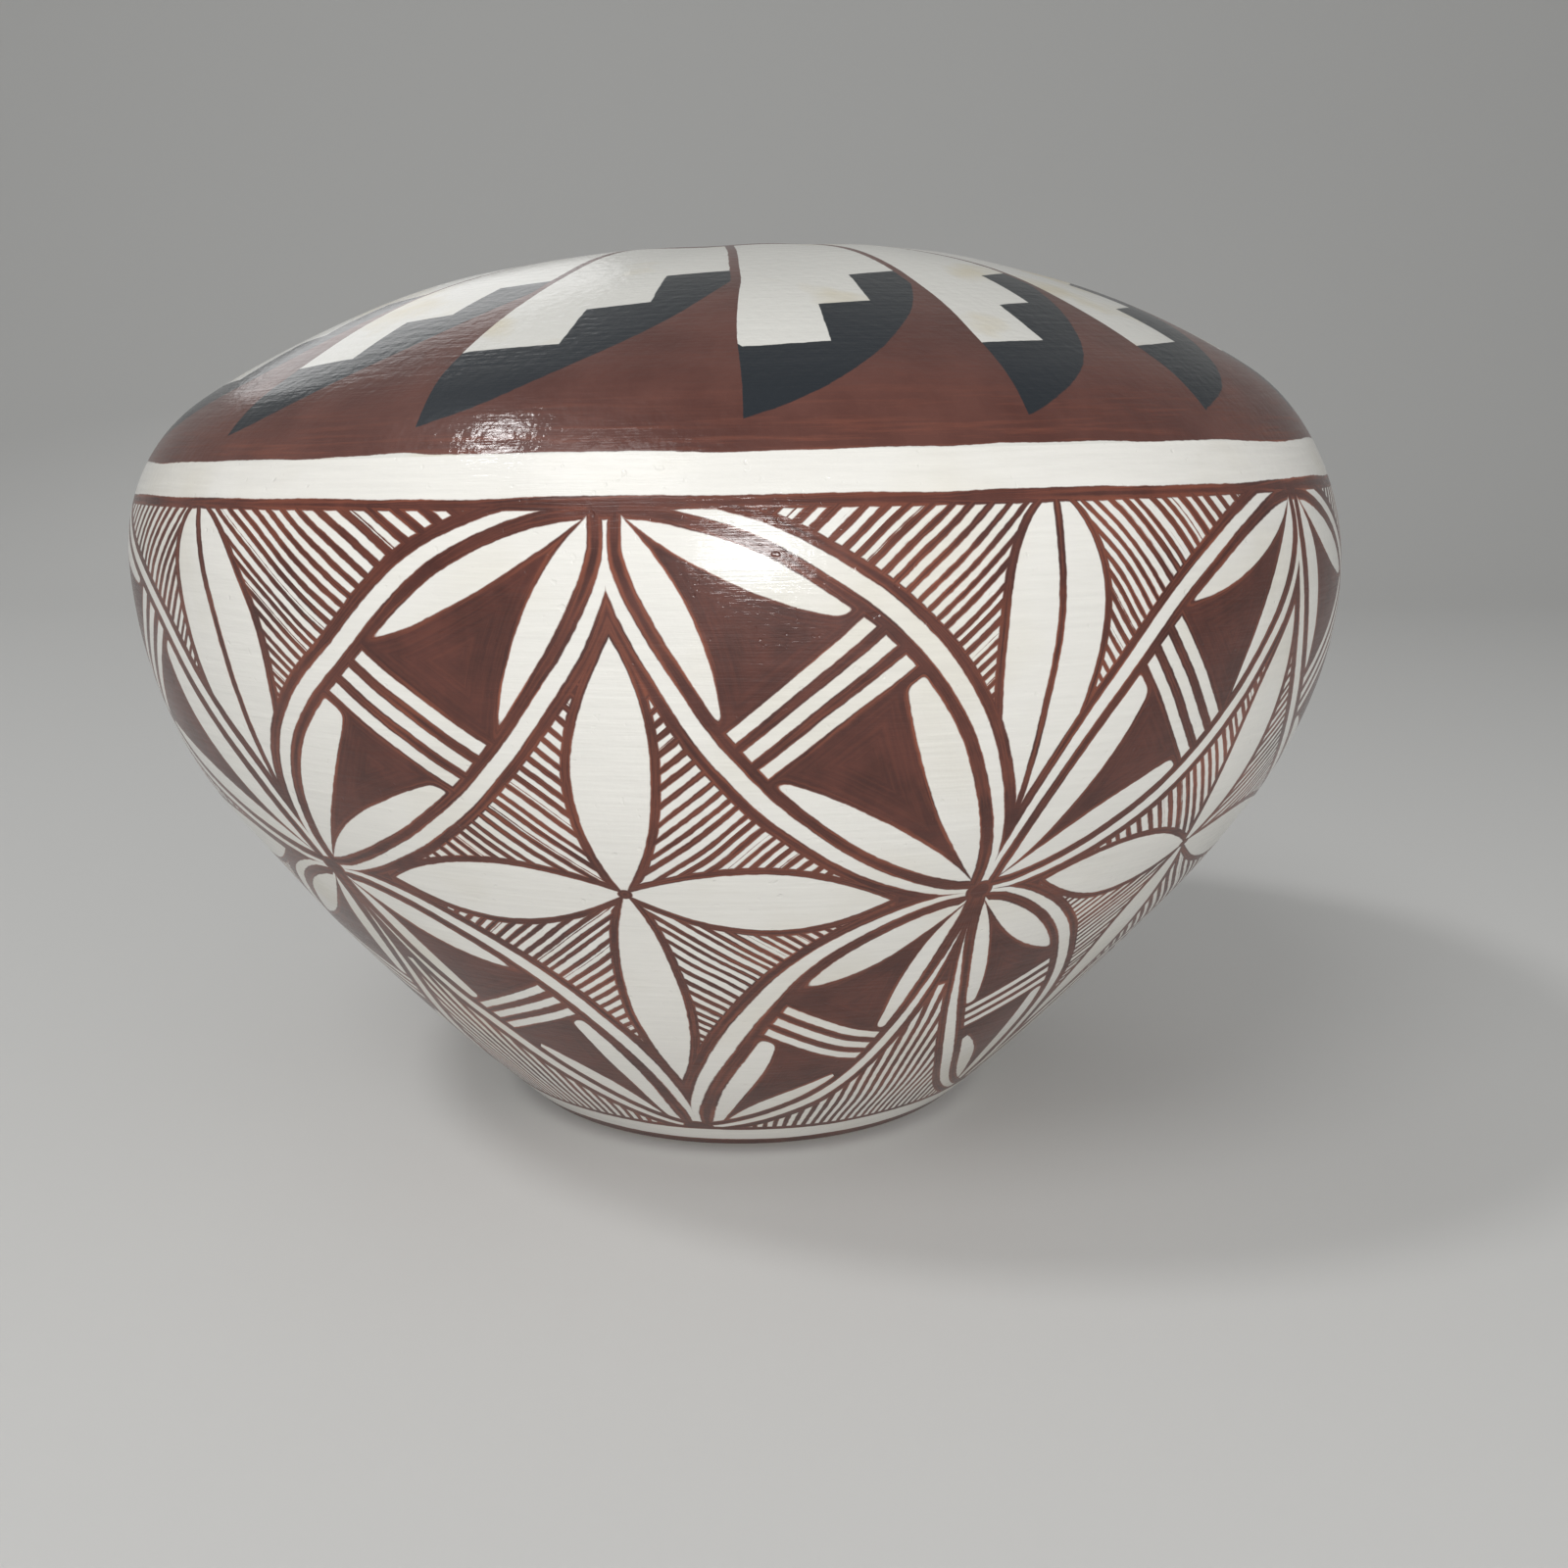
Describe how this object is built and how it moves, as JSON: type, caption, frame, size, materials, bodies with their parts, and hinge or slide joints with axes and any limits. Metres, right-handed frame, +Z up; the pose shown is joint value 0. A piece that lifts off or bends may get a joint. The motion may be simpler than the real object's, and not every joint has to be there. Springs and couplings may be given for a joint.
{
  "type": "pueblo pottery jar",
  "caption": "Closed-shouldered coil-built pottery jar with a small flat foot, wide belly, low dome and small mouth, slipped white and painted in red-brown and black.",
  "frame": {"origin": "middle of the flat foot, on the surface that the jar stands on", "axes": "+Z up along the jar's axis; the front, from which the ornament is set out, looks along -Y"},
  "size_m": [0.188, 0.188, 0.133],
  "materials": {
    "fired_clay": "scraped and fired clay, matte",
    "white_slip": "stone-rubbed kaolin slip, satin",
    "red_brown_paint": "iron-oxide paint, satin",
    "black_paint": "black mineral paint, satin"
  },
  "bodies": {
    "root": {"base_pat": "fired_clay", "lower_wall_course": "fired_clay", "middle_wall_course": "fired_clay", "upper_wall_course": "fired_clay", "belly_course": "fired_clay", "shoulder_course": "fired_clay", "dome_course": "fired_clay", "rim_coil": "fired_clay", "foot_slip_band": "white_slip", "body_slip": "white_slip", "shoulder_slip_band": "white_slip", "feather_panels": "white_slip", "foot_paint": "red_brown_paint", "lower_framing_line": "red_brown_paint", "upper_framing_line": "red_brown_paint", "dome_paint": "red_brown_paint", "rim_paint": "red_brown_paint", "feather_tips": "black_paint"}
  },
  "joints": []
}
